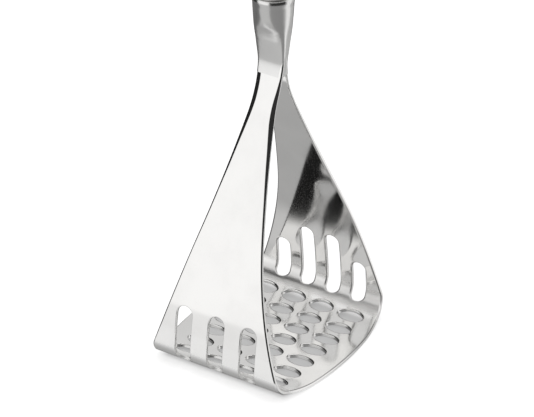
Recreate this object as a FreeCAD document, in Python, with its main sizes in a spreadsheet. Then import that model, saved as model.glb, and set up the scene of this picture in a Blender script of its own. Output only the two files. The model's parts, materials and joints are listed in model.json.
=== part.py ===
"""Loop potato masher: a perforated steel strip folded to a loop under a round handle.

+Y points to the rear arm, +X across the pressing plate, +Z up the handle.
The origin is the centre of the flat underside of the pressing plate.
"""
import FreeCAD, Part
import math
import os
import re
import Sketcher

doc = FreeCAD.newDocument("masher")

# ---------------------------------------------------------------- dimensions
SIZES = {
    # folded strip, seen from the side (millimetres and degrees)
    "sheet": 1.8,
    "flat_half": 20.0,
    "sweep_radius": 60.0,
    "sweep_angle": 18.3,
    "bend_radius": 8.9,
    "low_tilt": 4.1,
    "bow_radius": 165.0,
    "high_tilt": 23.8,
    "crotch_radius": 48.0,
    "tab_top": 146.0,
    # outline of the strip: barrel-shaped plate, tapering arms, slim waist
    "plate_half": 39.0,
    "plate_bulge_radius": 150.0,
    "arm_half": 31.2,
    "arm_taper": 18.5,
    "arm_side_radius": 583.0,
    "waist_side_radius": 66.0,
    "waist_half": 6.2,
    # oval holes of the plate
    "row_pitch": 10.65,
    "inner_column": 7.4,
    "outer_column": 22.8,
    "inner_oval_length": 11.2,
    "outer_oval_length": 12.3,
    "oval_width": 7.0,
    # slots that run from the plate up into the arms
    "slot_end": 41.0,
    "rear_slot_width": 7.0,
    "rear_slot_pitch": 13.3,
    "rear_inner_top": 35.3,
    "rear_outer_top": 24.4,
    "front_slot_width": 8.0,
    "front_slot_pitch": 16.5,
    "front_slot_top": 32.4,
    # neck between the strip and the handle
    "neck_foot_radius": 7.2,
    "neck_radius": 9.0,
    "neck_height": 24.0,
    "neck_side_radius": 200.0,
    "neck_rim": 0.8,
    "flat_rise": 0.5,
    "flat_runout_radius": 14.0,
    "flat_runout_angle": 50.0,
    "spigot_radius": 6.0,
    "spigot_length": 12.0,
    # spacer ring and handle
    "ring_radius": 8.2,
    "ring_height": 0.9,
    "handle_length": 105.0,
    "handle_low_radius": 9.9,
    "handle_belly_radius": 11.2,
    "handle_top_radius": 9.4,
    "handle_wall": 1.2,
    "seat_radius": 8.3,
    "seat_length": 12.0,
    "edge_round": 0.6,
    "rod_radius": 3.0,
    # end cap with the hanging eye
    "cap_plug_length": 8.0,
    "cap_height": 6.0,
    "lug_half_width": 6.5,
    "lug_thickness": 5.0,
    "eye_height": 11.0,
    "eye_radius": 3.25,
}

sheet = doc.addObject("Spreadsheet::Sheet", "sizes")
for row, (alias, value) in enumerate(SIZES.items(), start=1):
    sheet.set("A%d" % row, alias)
    sheet.set("B%d" % row, str(value))
    sheet.setAlias("B%d" % row, alias)
doc.recompute()


def size(alias):
    """The present value of one driving dimension."""
    return float(sheet.get(alias))


def bound(expression):
    """An expression over the aliases of the sheet, as setExpression wants it."""
    return re.sub("[a-z_]+", lambda word: "sizes." * (word[0] in SIZES) + word[0], expression)


def value_of(expression):
    """The number that an expression over the aliases has now."""
    return float(sheet.evalExpression(bound(expression)))


# Heights and places that several sub-parts share, each over the sheet's aliases.
SWEEP_RISE = "sweep_radius * (1 - cos(sweep_angle * 1 deg))"
BEND_RISE = "bend_radius * (cos(sweep_angle * 1 deg) + sin(low_tilt * 1 deg))"
ARM_FOOT = "(" + SWEEP_RISE + " + " + BEND_RISE + ")"
SPREAD = "(flat_half + sweep_radius + bend_radius)"
MID_BEND = "(sheet + 2 * " + SWEEP_RISE + ")"
NECK_TOP = "(tab_top + neck_height)"
HANDLE_FOOT = "(tab_top + neck_height + ring_height)"
HANDLE_TOP = "(tab_top + neck_height + ring_height + handle_length)"
EYE_CENTRE = "(tab_top + neck_height + ring_height + handle_length + eye_height)"


# ------------------------------------------------------------ sketch helpers
def new_body(label):
    body = doc.addObject("PartDesign::Body", label)
    body.Label = label
    return body


def datum(body, role):
    """The body's own origin plane or axis with this role."""
    return [item for item in body.Origin.OriginFeatures if item.Role == role][0]


def new_sketch(body, name, plane):
    sketch = body.newObject("Sketcher::SketchObject", name)
    sketch.AttachmentSupport = (datum(body, plane), [""])
    sketch.MapMode = "FlatFace"
    return sketch


def rule(sketch, kind, elements, expression=None):
    """Adds one constraint, and binds it to the sheet when it has a size."""
    if expression is None:
        return sketch.addConstraint(Sketcher.Constraint(kind, *elements))
    number = value_of(expression)
    if kind == "Angle":
        number = math.radians(number)
    index = sketch.addConstraint(Sketcher.Constraint(kind, *elements, number))
    unit = " * 1 deg" if kind == "Angle" else ""
    sketch.setExpression("Constraints[%d]" % index, "(" + bound(expression) + ")" + unit)
    return index


def pin_point(sketch, geometry, end, across, up):
    """Holds one end point at a place given by two expressions."""
    for kind, expression in (("DistanceX", across), ("DistanceY", up)):
        if value_of(expression) == 0.0:
            axis = -2 if kind == "DistanceX" else -1
            rule(sketch, "PointOnObject", (geometry, end, axis))
        else:
            rule(sketch, kind, (-1, 1, geometry, end), expression)


def arc(sketch, start, end, radius, left=True):
    """An arc from start to end; left tells on which side of the chord the centre lies."""
    chord = end - start
    middle = (start + end) * 0.5
    height = math.sqrt(max(radius ** 2 - chord.Length ** 2 / 4.0, 0.0))
    normal = FreeCAD.Vector(-chord.y, chord.x, 0) / chord.Length
    centre = middle + normal * (height if left else -height)
    first = math.atan2(start.y - centre.y, start.x - centre.x)
    last = math.atan2(end.y - centre.y, end.x - centre.x)
    if not left:
        first, last = last, first
    circle = Part.Circle(centre, FreeCAD.Vector(0, 0, 1), radius)
    index = sketch.addGeometry(Part.ArcOfCircle(circle, first, last))
    # vertex numbers of the arc's start and end, in the order of travel
    return (index, 1, 2) if left else (index, 2, 1)


def extrude(body, kind, sketch, length, side="One side", reverse=False):
    """A pad or a pocket of one sketch, its length bound to the sheet."""
    feature = body.newObject("PartDesign::" + kind, sketch.Name + "_" + kind.lower())
    feature.Profile = sketch
    feature.SideType = side
    feature.Reversed = reverse
    feature.setExpression("Length", bound(length))
    sketch.Visibility = False
    body.Tip = feature
    return feature


def cut_check(body, before):
    """A pocket that points away from the solid would leave its volume unchanged."""
    doc.recompute()
    after = body.Shape.Volume
    if after > before - 1.0:
        raise RuntimeError(body.Label + ": the last pocket cut nothing")
    return after


def revolve(body, sketch):
    feature = body.newObject("PartDesign::Revolution", sketch.Name + "_turned")
    feature.Profile = sketch
    feature.ReferenceAxis = (sketch, ["V_Axis"])
    feature.Angle = 360.0
    sketch.Visibility = False
    body.Tip = feature
    return feature


# ---------------------------------------------------------------- the strip
def along(point, heading, distance):
    return point + FreeCAD.Vector(math.cos(heading), math.sin(heading), 0) * distance


def side_profile(body):
    """Half of the folded strip from the side: flat, sweep, bend, bow, straight, crotch, tab."""
    sketch = new_sketch(body, "strip_profile", "YZ_Plane")
    thick = size("sheet")
    sweep = math.radians(size("sweep_angle"))
    low = math.radians(size("low_tilt"))
    high = math.radians(size("high_tilt"))
    turns = [sweep, math.pi / 2 + low - sweep, high - low]
    radii = [size("sweep_radius"), size("bend_radius"), size("bow_radius")]

    # outer and inner corner points of the tangent chain, from the plate up the arm
    outer = [FreeCAD.Vector(0, 0, 0), FreeCAD.Vector(size("flat_half"), 0, 0)]
    heading = 0.0
    for turn, radius in zip(turns, radii):
        outer.append(along(outer[-1], heading + turn / 2, 2 * radius * math.sin(turn / 2)))
        heading += turn
    crotch = size("crotch_radius")
    run = (outer[-1].x - thick - crotch * (1 - math.cos(high))) / math.sin(high)
    outer.append(along(outer[-1], heading, run))
    outer.append(FreeCAD.Vector(thick, outer[-1].y + crotch * math.sin(high), 0))
    outer.append(FreeCAD.Vector(thick, size("tab_top"), 0))
    headings = [0.0, 0.0, sweep, math.pi / 2 + low, math.pi / 2 + high, math.pi / 2 + high]
    headings += [math.pi / 2, math.pi / 2]
    inner = [along(p, a + math.pi / 2, thick) for p, a in zip(outer, headings)]

    def chain(points, offset):
        parts = [(sketch.addGeometry(Part.LineSegment(points[0], points[1])), 1, 2)]
        for k, radius in enumerate(radii):
            parts.append(arc(sketch, points[k + 1], points[k + 2], radius - offset))
        parts.append((sketch.addGeometry(Part.LineSegment(points[4], points[5])), 1, 2))
        parts.append(arc(sketch, points[5], points[6], crotch + offset, left=False))
        parts.append((sketch.addGeometry(Part.LineSegment(points[6], points[7])), 1, 2))
        for (one, _, leave), (two, enter, _) in zip(parts, parts[1:]):
            rule(sketch, "Tangent", (one, leave, two, enter))
        rule(sketch, "Horizontal", (parts[0][0],))
        rule(sketch, "Vertical", (parts[6][0],))
        return [part[0] for part in parts]

    out = chain(outer, 0.0)
    into = chain(inner, thick)
    foot = sketch.addGeometry(Part.LineSegment(inner[0], outer[0]))
    top = sketch.addGeometry(Part.LineSegment(outer[7], inner[7]))
    rule(sketch, "Coincident", (foot, 2, out[0], 1))
    rule(sketch, "Coincident", (foot, 1, into[0], 1))
    rule(sketch, "Coincident", (top, 1, out[6], 2))
    rule(sketch, "Coincident", (top, 2, into[6], 2))
    rule(sketch, "Coincident", (out[0], 1, -1, 1))
    rule(sketch, "Vertical", (foot,))
    rule(sketch, "Horizontal", (top,))
    rule(sketch, "DistanceY", (out[0], 1, into[0], 1), "sheet")
    rule(sketch, "DistanceX", (into[6], 2, out[6], 2), "sheet")
    rule(sketch, "PointOnObject", (into[6], 2, -2))
    rule(sketch, "DistanceX", (out[0], 1, out[0], 2), "flat_half")
    rule(sketch, "DistanceY", (-1, 1, out[6], 2), "tab_top")
    for k, name in ((1, "sweep_radius"), (2, "bend_radius"), (3, "bow_radius"), (5, "crotch_radius")):
        rule(sketch, "Radius", (out[k],), name)
        rule(sketch, "Coincident", (out[k], 3, into[k], 3))
    rule(sketch, "Angle", (out[1],), "sweep_angle")
    rule(sketch, "Angle", (out[2],), "90 + low_tilt - sweep_angle")
    rule(sketch, "Angle", (out[3],), "high_tilt - low_tilt")
    return sketch


def arm_waste(body):
    """Waste beside the arms, from the middle of the bend: a straight, then three tangent arcs."""
    sketch = new_sketch(body, "arm_waste", "XZ_Plane")
    foot = FreeCAD.Vector(size("arm_half"), value_of(ARM_FOOT), 0)
    taper = math.radians(size("arm_taper"))
    side, waist = size("arm_side_radius"), size("waist_side_radius")
    # tilt at which the side arc hands over to the waist arc
    reach = foot.x + side * math.cos(taper) - waist - size("waist_half")
    tilt = math.acos(reach / (side - waist))
    start = value_of(MID_BEND)
    low = FreeCAD.Vector(foot.x + (foot.y - start) * math.tan(taper), start, 0)
    join_x = foot.x - side * (math.cos(tilt) - math.cos(taper))
    join = FreeCAD.Vector(join_x, foot.y + side * (math.sin(taper) - math.sin(tilt)), 0)
    slim = FreeCAD.Vector(size("waist_half"), join.y + waist * math.sin(tilt), 0)
    head = FreeCAD.Vector(size("neck_foot_radius"), size("tab_top"), 0)
    rise, flare = head.y - slim.y, head.x - slim.x
    flare_radius = (rise ** 2 + flare ** 2) / (2 * flare)
    edge = FreeCAD.Vector(head.x, 1.1 * head.y, 0)
    over = FreeCAD.Vector(2 * size("plate_half"), edge.y, 0)
    under = FreeCAD.Vector(over.x, low.y, 0)

    parts = [(sketch.addGeometry(Part.LineSegment(low, foot)), 1, 2)]
    parts.append(arc(sketch, foot, join, side, left=False))
    parts.append(arc(sketch, join, slim, waist, left=False))
    parts.append(arc(sketch, slim, head, flare_radius, left=False))
    for (one, _, leave), (two, enter, _) in zip(parts, parts[1:]):
        rule(sketch, "Tangent", (one, leave, two, enter))
    for start, end in ((head, edge), (edge, over), (over, under), (under, low)):
        parts.append((sketch.addGeometry(Part.LineSegment(start, end)), 1, 2))
    for (one, _, leave), (two, enter, _) in zip(parts[3:], parts[4:] + parts[:1]):
        rule(sketch, "Coincident", (one, leave, two, enter))
    line, side_arc, waist_arc, flare_arc, rim, lid, far, floor = [part[0] for part in parts]
    pin_point(sketch, line, 2, "arm_half", ARM_FOOT)
    rule(sketch, "Angle", (line,), "90 + arm_taper")
    rule(sketch, "Radius", (side_arc,), "arm_side_radius")
    rule(sketch, "Radius", (waist_arc,), "waist_side_radius")
    rule(sketch, "DistanceX", (-1, 1, waist_arc, parts[2][2]), "waist_half")
    rule(sketch, "Horizontal", (waist_arc, 3, waist_arc, parts[2][2]))
    pin_point(sketch, flare_arc, parts[3][2], "neck_foot_radius", "tab_top")
    for upright in (rim, far):
        rule(sketch, "Vertical", (upright,))
    for level in (lid, floor):
        rule(sketch, "Horizontal", (level,))
    pin_point(sketch, lid, 2, "2 * plate_half", "1.1 * tab_top")
    rule(sketch, "DistanceY", (-1, 1, floor, 2), MID_BEND)
    return sketch


def plate_waste(body):
    """Waste beside the plate: a long arc that leaves the plate barrel-shaped in plan."""
    sketch = new_sketch(body, "plate_waste", "XY_Plane")
    half, radius = size("plate_half"), size("plate_bulge_radius")
    end = value_of(SPREAD)
    sink = radius - math.sqrt(radius ** 2 - end ** 2)
    low = FreeCAD.Vector(half - sink, -end, 0)
    high = FreeCAD.Vector(half - sink, end, 0)
    far_high = FreeCAD.Vector(2 * half, end, 0)
    far_low = FreeCAD.Vector(2 * half, -end, 0)
    bulge = arc(sketch, low, high, radius)
    parts = [bulge]
    for start, stop in ((high, far_high), (far_high, far_low), (far_low, low)):
        parts.append((sketch.addGeometry(Part.LineSegment(start, stop)), 1, 2))
    for (one, _, leave), (two, enter, _) in zip(parts, parts[1:] + parts[:1]):
        rule(sketch, "Coincident", (one, leave, two, enter))
    curve, lid, far, floor = [part[0] for part in parts]
    rule(sketch, "Radius", (curve,), "plate_bulge_radius")
    rule(sketch, "DistanceX", (-1, 1, curve, 3), "plate_half - plate_bulge_radius")
    rule(sketch, "PointOnObject", (curve, 3, -1))
    rule(sketch, "Horizontal", (lid,))
    rule(sketch, "Horizontal", (floor,))
    rule(sketch, "Vertical", (far,))
    pin_point(sketch, far, 1, "2 * plate_half", SPREAD)
    rule(sketch, "DistanceY", (far, 2, -1, 1), SPREAD)
    return sketch


def slot_outline(sketch, across, width, end, reach):
    """A slot about x = across with one round end, from end to the open side at reach."""
    radius = value_of(width) / 2
    towards = 1 if value_of(end) > value_of(reach) else -1
    x, y, base = value_of(across), value_of(end) - towards * radius, value_of(reach)
    places = [(x + radius, base), (x + radius, y), (x - radius, y), (x - radius, base)]
    a, b, c, d = [FreeCAD.Vector(px, py, 0) for px, py in places]
    side = sketch.addGeometry(Part.LineSegment(a, b))
    cap = arc(sketch, b, c, radius, left=towards > 0)
    back = sketch.addGeometry(Part.LineSegment(c, d))
    mouth = sketch.addGeometry(Part.LineSegment(d, a))
    rule(sketch, "Tangent", (side, 2, cap[0], cap[1]))
    rule(sketch, "Tangent", (cap[0], cap[2], back, 1))
    rule(sketch, "Coincident", (back, 2, mouth, 1))
    rule(sketch, "Coincident", (mouth, 2, side, 1))
    rule(sketch, "Vertical", (side,))
    rule(sketch, "Horizontal", (mouth,))
    rule(sketch, "Radius", (cap[0],), width + " / 2")
    sign = "-" if towards > 0 else "+"
    pin_point(sketch, cap[0], 3, across, "%s %s %s / 2" % (end, sign, width))
    rule(sketch, "DistanceY", (-1, 1, side, 1), reach)


def mirrored(body, feature, plane):
    copy = body.newObject("PartDesign::Mirrored", feature.Name + "_mirror")
    copy.Originals = [feature]
    copy.MirrorPlane = (datum(body, plane), [""])
    body.Tip = copy
    return copy


def rows(body, feature, axis, span, count):
    """Equal copies of one cut along an origin axis, over a span given by an expression."""
    pattern = body.newObject("PartDesign::LinearPattern", feature.Name + "_rows")
    pattern.Originals = [feature]
    pattern.Direction = (datum(body, axis), [""])
    pattern.Occurrences = count
    pattern.setExpression("Length", bound(span))
    body.Tip = pattern
    return pattern


def oval(sketch, across, up, length, width):
    centre = FreeCAD.Vector(value_of(across), value_of(up), 0)
    end = centre + FreeCAD.Vector(value_of(length) / 2, 0, 0)
    side = centre + FreeCAD.Vector(0, value_of(width) / 2, 0)
    ellipse = sketch.addGeometry(Part.Ellipse(end, side, centre))
    sketch.exposeInternalGeometry(ellipse)
    rule(sketch, "Distance", (ellipse + 1,), length)
    rule(sketch, "Distance", (ellipse + 2,), width)
    rule(sketch, "Horizontal", (ellipse + 1,))
    rule(sketch, "DistanceX", (-1, 1, ellipse, 3), across)
    rule(sketch, "DistanceY", (-1, 1, ellipse, 3), up)


def make_blade():
    """The folded strip: pressing plate, two arms and the tabs that meet under the neck."""
    body = new_body("blade")
    half = extrude(body, "Pad", side_profile(body), "4 * plate_half", side="Symmetric")
    mirrored(body, half, "XZ_Plane")
    doc.recompute()
    volume = body.Shape.Volume

    arms = extrude(body, "Pocket", arm_waste(body), "4 * " + SPREAD, side="Symmetric")
    mirrored(body, arms, "YZ_Plane")
    volume = cut_check(body, volume)
    plate = extrude(body, "Pocket", plate_waste(body), "2 * tab_top", side="Symmetric")
    mirrored(body, plate, "YZ_Plane")
    volume = cut_check(body, volume)

    # ovals: one row of four in front, repeated to the rear
    sketch = new_sketch(body, "oval_row", "XY_Plane")
    for sign in ("", "-"):
        oval(sketch, sign + "inner_column", "-3 * row_pitch", "inner_oval_length", "oval_width")
        oval(sketch, sign + "outer_column", "-3 * row_pitch", "outer_oval_length", "oval_width")
    cut = extrude(body, "Pocket", sketch, ARM_FOOT, reverse=True)
    rows(body, cut, "Y_Axis", "6 * row_pitch", 7)
    volume = cut_check(body, volume)

    # each slot is cut twice: down into the plate's end, and level through its arm
    rear = [("rear_slot_pitch / 2", "rear_inner_top"), ("3 * rear_slot_pitch / 2", "rear_outer_top")]
    sketch = new_sketch(body, "rear_slot_ends", "XY_Plane")
    for across, _ in rear:
        slot_outline(sketch, across, "rear_slot_width", "slot_end", SPREAD)
    cut = extrude(body, "Pocket", sketch, MID_BEND, reverse=True)
    mirrored(body, cut, "YZ_Plane")
    volume = cut_check(body, volume)
    sketch = new_sketch(body, "rear_slot_tops", "XZ_Plane")
    for across, top in rear:
        slot_outline(sketch, across, "rear_slot_width", top, MID_BEND)
    cut = extrude(body, "Pocket", sketch, SPREAD)
    mirrored(body, cut, "YZ_Plane")
    volume = cut_check(body, volume)

    front = "-1 * front_slot_pitch"
    sketch = new_sketch(body, "front_slot_ends", "XY_Plane")
    slot_outline(sketch, front, "front_slot_width", "-1 * slot_end", "-1 * " + SPREAD)
    cut = extrude(body, "Pocket", sketch, MID_BEND, reverse=True)
    rows(body, cut, "X_Axis", "2 * front_slot_pitch", 3)
    volume = cut_check(body, volume)
    sketch = new_sketch(body, "front_slot_tops", "XZ_Plane")
    slot_outline(sketch, front, "front_slot_width", "front_slot_top", MID_BEND)
    cut = extrude(body, "Pocket", sketch, SPREAD, reverse=True)
    rows(body, cut, "X_Axis", "2 * front_slot_pitch", 3)
    cut_check(body, volume)
    return body


# ----------------------------------------------------------------- the neck
def turned_outline(sketch, corners, arcs):
    """A closed outline through corners; arcs maps an edge's number to (radius, centre left)."""
    places = [FreeCAD.Vector(value_of(x), value_of(y), 0) for x, y in corners]
    parts = []
    for k, (start, end) in enumerate(zip(places, places[1:] + places[:1])):
        if k in arcs:
            parts.append(arc(sketch, start, end, value_of(arcs[k][0]), left=arcs[k][1]))
        else:
            parts.append((sketch.addGeometry(Part.LineSegment(start, end)), 1, 2))
    for (one, _, leave), (two, enter, _) in zip(parts, parts[1:] + parts[:1]):
        rule(sketch, "Coincident", (one, leave, two, enter))
    for (geometry, enter, _), (across, up) in zip(parts, corners):
        pin_point(sketch, geometry, enter, across, up)
    for k, (radius, _) in arcs.items():
        rule(sketch, "Radius", (parts[k][0],), radius)


def make_neck():
    """Turned neck with a spigot, pressed flat at its foot to meet the strip's two tabs."""
    body = new_body("neck")
    sketch = new_sketch(body, "neck_outline", "XZ_Plane")
    shoulder = "(" + NECK_TOP + " - neck_rim)"
    spigot_top = "(" + NECK_TOP + " + spigot_length)"
    corners = [
        ("0", "tab_top"),
        ("neck_foot_radius", "tab_top"),
        ("neck_radius", shoulder),
        ("neck_radius - neck_rim", NECK_TOP),
        ("spigot_radius", NECK_TOP),
        ("spigot_radius", spigot_top),
        ("0", spigot_top),
    ]
    turned_outline(sketch, corners, {1: ("neck_side_radius", True), 2: ("neck_rim", True)})
    revolve(body, sketch)
    doc.recompute()
    volume = body.Shape.Volume

    # the flats: level with the tabs' faces, then a concave runout to the round
    sketch = new_sketch(body, "flat_waste", "YZ_Plane")
    radius, angle = size("flat_runout_radius"), math.radians(size("flat_runout_angle"))
    face, out = size("sheet"), 2 * size("neck_radius")
    low = FreeCAD.Vector(face, size("tab_top") - size("flat_rise"), 0)
    bend = FreeCAD.Vector(face, size("tab_top") + size("flat_rise"), 0)
    leave = bend + FreeCAD.Vector(radius * (1 - math.cos(angle)), radius * math.sin(angle), 0)
    high = FreeCAD.Vector(out, leave.y + (out - leave.x) / math.tan(angle), 0)
    corner = FreeCAD.Vector(out, low.y, 0)
    upright = sketch.addGeometry(Part.LineSegment(low, bend))
    curve = arc(sketch, bend, leave, radius, left=False)
    slope = sketch.addGeometry(Part.LineSegment(leave, high))
    far = sketch.addGeometry(Part.LineSegment(high, corner))
    floor = sketch.addGeometry(Part.LineSegment(corner, low))
    rule(sketch, "Tangent", (upright, 2, curve[0], curve[1]))
    rule(sketch, "Tangent", (curve[0], curve[2], slope, 1))
    rule(sketch, "Coincident", (slope, 2, far, 1))
    rule(sketch, "Coincident", (far, 2, floor, 1))
    rule(sketch, "Coincident", (floor, 2, upright, 1))
    rule(sketch, "Vertical", (upright,))
    rule(sketch, "Vertical", (far,))
    rule(sketch, "Horizontal", (floor,))
    rule(sketch, "Radius", (curve[0],), "flat_runout_radius")
    rule(sketch, "Angle", (curve[0],), "flat_runout_angle")
    pin_point(sketch, upright, 2, "sheet", "tab_top + flat_rise")
    pin_point(sketch, floor, 1, "2 * neck_radius", "tab_top - flat_rise")
    cut = extrude(body, "Pocket", sketch, "4 * neck_radius", side="Symmetric")
    mirrored(body, cut, "XZ_Plane")
    cut_check(body, volume)
    return body


# --------------------------------------------------------------- the handle
def turned_part(label, corners, arcs=None):
    body = new_body(label)
    sketch = new_sketch(body, label + "_outline", "XZ_Plane")
    turned_outline(sketch, corners, arcs or {})
    revolve(body, sketch)
    return body


def make_spacer_ring():
    """Thin ring on the spigot, set back to leave a dark groove under the handle."""
    return turned_part("spacer_ring", [
        ("spigot_radius", NECK_TOP),
        ("ring_radius", NECK_TOP),
        ("ring_radius", HANDLE_FOOT),
        ("spigot_radius", HANDLE_FOOT),
    ])


def make_lower_plug():
    """Plug pressed into the handle's foot; the neck's spigot sits in its bore."""
    top = "(" + HANDLE_FOOT + " + seat_length)"
    return turned_part("lower_plug", [
        ("spigot_radius", HANDLE_FOOT),
        ("seat_radius", HANDLE_FOOT),
        ("seat_radius", top),
        ("rod_radius", top),
        ("rod_radius", "(" + NECK_TOP + " + spigot_length)"),
        ("spigot_radius", "(" + NECK_TOP + " + spigot_length)"),
    ])


def make_tie_rod():
    """Rod inside the handle, from the neck's spigot to the cap's plug."""
    low = "(" + NECK_TOP + " + spigot_length)"
    high = "(" + HANDLE_TOP + " - cap_plug_length)"
    return turned_part("tie_rod", [("0", low), ("rod_radius", low), ("rod_radius", high), ("0", high)])


def upright_arc(slim, wide, low, high):
    """Radius of an arc between two heights that stands upright where it is widest."""
    across, rise = "(%s - (%s))" % (wide, slim), "(%s - (%s))" % (high, low)
    return "(%s ^ 2 + %s ^ 2) / (2 * %s)" % (across, rise, across)


def make_handle_shell():
    """Hollow round handle with a soft belly and a turned seat at each end."""
    low_round = "(" + HANDLE_FOOT + " + edge_round)"
    low_seat = "(" + HANDLE_FOOT + " + seat_length)"
    high_seat = "(" + HANDLE_TOP + " - seat_length)"
    belly = "(" + HANDLE_FOOT + " + 0.45 * handle_length)"
    inner_belly = "handle_belly_radius - handle_wall"
    corners = [
        ("seat_radius", HANDLE_FOOT),
        ("handle_low_radius - edge_round", HANDLE_FOOT),
        ("handle_low_radius", low_round),
        ("handle_belly_radius", belly),
        ("handle_top_radius", HANDLE_TOP),
        ("seat_radius", HANDLE_TOP),
        ("seat_radius", high_seat),
        (inner_belly, belly),
        ("seat_radius", low_seat),
    ]
    return turned_part("handle_shell", corners, {
        2: (upright_arc("handle_low_radius", "handle_belly_radius", low_round, belly), True),
        3: (upright_arc("handle_top_radius", "handle_belly_radius", belly, HANDLE_TOP), True),
        6: (upright_arc("seat_radius", inner_belly, belly, high_seat), False),
        7: (upright_arc("seat_radius", inner_belly, low_seat, belly), False),
    })


def make_end_cap():
    """Domed cap with a plug below and a flat lug above, pierced by the hanging eye."""
    body = new_body("end_cap")
    sketch = new_sketch(body, "cap_outline", "XZ_Plane")
    plug = "(" + HANDLE_TOP + " - cap_plug_length)"
    dome = "(" + HANDLE_TOP + " + cap_height)"
    corners = [
        ("0", plug),
        ("seat_radius", plug),
        ("seat_radius", HANDLE_TOP),
        ("handle_top_radius", HANDLE_TOP),
        ("handle_top_radius / 3", dome),
        ("0", dome),
    ]
    turned_outline(sketch, corners, {3: ("handle_top_radius", True)})
    revolve(body, sketch)
    doc.recompute()
    sketch = new_sketch(body, "lug", "XZ_Plane")
    slot_outline(sketch, "0", "(2 * lug_half_width)", "(" + EYE_CENTRE + " + lug_half_width)",
                 HANDLE_TOP)
    extrude(body, "Pad", sketch, "lug_thickness", side="Symmetric")
    doc.recompute()
    volume = body.Shape.Volume
    sketch = new_sketch(body, "eye", "XZ_Plane")
    eye = sketch.addGeometry(Part.Circle(FreeCAD.Vector(0, value_of(EYE_CENTRE), 0),
                                         FreeCAD.Vector(0, 0, 1), size("eye_radius")))
    rule(sketch, "Radius", (eye,), "eye_radius")
    pin_point(sketch, eye, 3, "0", EYE_CENTRE)
    extrude(body, "Pocket", sketch, "4 * lug_thickness", side="Symmetric")
    cut_check(body, volume)
    return body


# ------------------------------------------------------------------- output
bodies = [
    make_blade(),
    make_neck(),
    make_spacer_ring(),
    make_lower_plug(),
    make_tie_rod(),
    make_handle_shell(),
    make_end_cap(),
]
doc.recompute()

for item in doc.Objects:
    if "Invalid" in item.State or "Error" in item.State:
        raise RuntimeError(item.Name + " did not rebuild")
os.makedirs("parts", exist_ok=True)
for body in bodies:
    if body.Shape.isNull() or not body.Shape.isValid() or len(body.Shape.Solids) != 1:
        raise RuntimeError(body.Label + " is not one valid solid")
for body in bodies:
    body.Shape.exportStep("parts/" + body.Label + ".step")
    box = body.Shape.BoundBox
    print("%-14s %8.0f mm3  z %.1f to %.1f" % (body.Label, body.Shape.Volume, box.ZMin, box.ZMax))
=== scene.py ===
# %% [markdown]
# # Loop potato masher
# One strip of polished stainless steel is punched, then folded into a triangular loop. Its two ends
# meet at a slim waist, are welded to a forged neck, and the neck carries a hollow round handle.
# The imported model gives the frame. Everything here is in metres, and every piece keeps its object at
# the origin, with its place in its mesh.

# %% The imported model's frame
import json
import math
import bpy
import bmesh
import numpy as np
from mathutils import Matrix, Vector
from mathutils.geometry import delaunay_2d_cdt


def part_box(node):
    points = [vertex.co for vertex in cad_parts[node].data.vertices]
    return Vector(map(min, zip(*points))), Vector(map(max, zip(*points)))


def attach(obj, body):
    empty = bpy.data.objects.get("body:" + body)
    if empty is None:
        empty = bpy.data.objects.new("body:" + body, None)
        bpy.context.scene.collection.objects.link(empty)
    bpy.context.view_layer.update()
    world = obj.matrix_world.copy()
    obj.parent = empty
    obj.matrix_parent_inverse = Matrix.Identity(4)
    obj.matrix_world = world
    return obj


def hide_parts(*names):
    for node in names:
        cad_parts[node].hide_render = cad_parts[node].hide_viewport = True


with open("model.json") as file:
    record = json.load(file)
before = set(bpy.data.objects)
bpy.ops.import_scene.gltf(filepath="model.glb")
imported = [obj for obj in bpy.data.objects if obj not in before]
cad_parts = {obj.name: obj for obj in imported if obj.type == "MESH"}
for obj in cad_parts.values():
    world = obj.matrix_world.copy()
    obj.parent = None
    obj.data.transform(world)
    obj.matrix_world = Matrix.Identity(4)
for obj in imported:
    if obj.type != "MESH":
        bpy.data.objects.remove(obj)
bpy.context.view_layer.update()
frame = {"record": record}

MM = 0.001


def in_scene(name, data):
    """A new object at the origin, linked to the scene."""
    made = bpy.data.objects.new(name, data)
    bpy.context.scene.collection.objects.link(made)
    return made

# %% [markdown]
# ## Camera
# A long lens from the right of the front arm and 30 degrees above the floor keeps the loop's lines
# nearly parallel. The camera's axes are built first and rolled a little, because a hand-held tool
# standing on its plate rarely stands quite square to the lens.

# %% The camera and its axes
FRAME_WIDTH = 534
AZIMUTH, ELEVATION, ROLL = math.radians(32.47), math.radians(30.08), math.radians(0.60)
FOCAL = 2970.0
TARGET = Vector((0.0, 0.0, 61.0 * MM))
STEPS_PER_MM = 2.3
DISTANCE = FOCAL / STEPS_PER_MM * MM
SHIFT_RIGHT, SHIFT_UP = -1.70 * MM, 4.51 * MM
right = Vector((math.cos(AZIMUTH), math.sin(AZIMUTH), 0.0))
back = Vector((math.sin(AZIMUTH) * math.cos(ELEVATION),
               -math.cos(AZIMUTH) * math.cos(ELEVATION), math.sin(ELEVATION)))
up = back.cross(right)
rolled_right = right * math.cos(ROLL) + up * math.sin(ROLL)
rolled_up = up * math.cos(ROLL) - right * math.sin(ROLL)

lens = bpy.data.cameras.new("long_lens")
lens.sensor_width = 36.0
lens.lens = 36.0 * FOCAL / FRAME_WIDTH
lens.clip_start, lens.clip_end = 0.05, 20.0
camera = in_scene("camera", lens)
camera.location = TARGET + back * DISTANCE + rolled_right * SHIFT_RIGHT + rolled_up * SHIFT_UP
turn = Matrix((rolled_right, rolled_up, back)).transposed()
camera.rotation_mode = "QUATERNION"
camera.rotation_quaternion = turn.to_quaternion()
bpy.context.scene.camera = camera
print("lens %.0f mm at %.2f m" % (lens.lens, camera.location.length))

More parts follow.
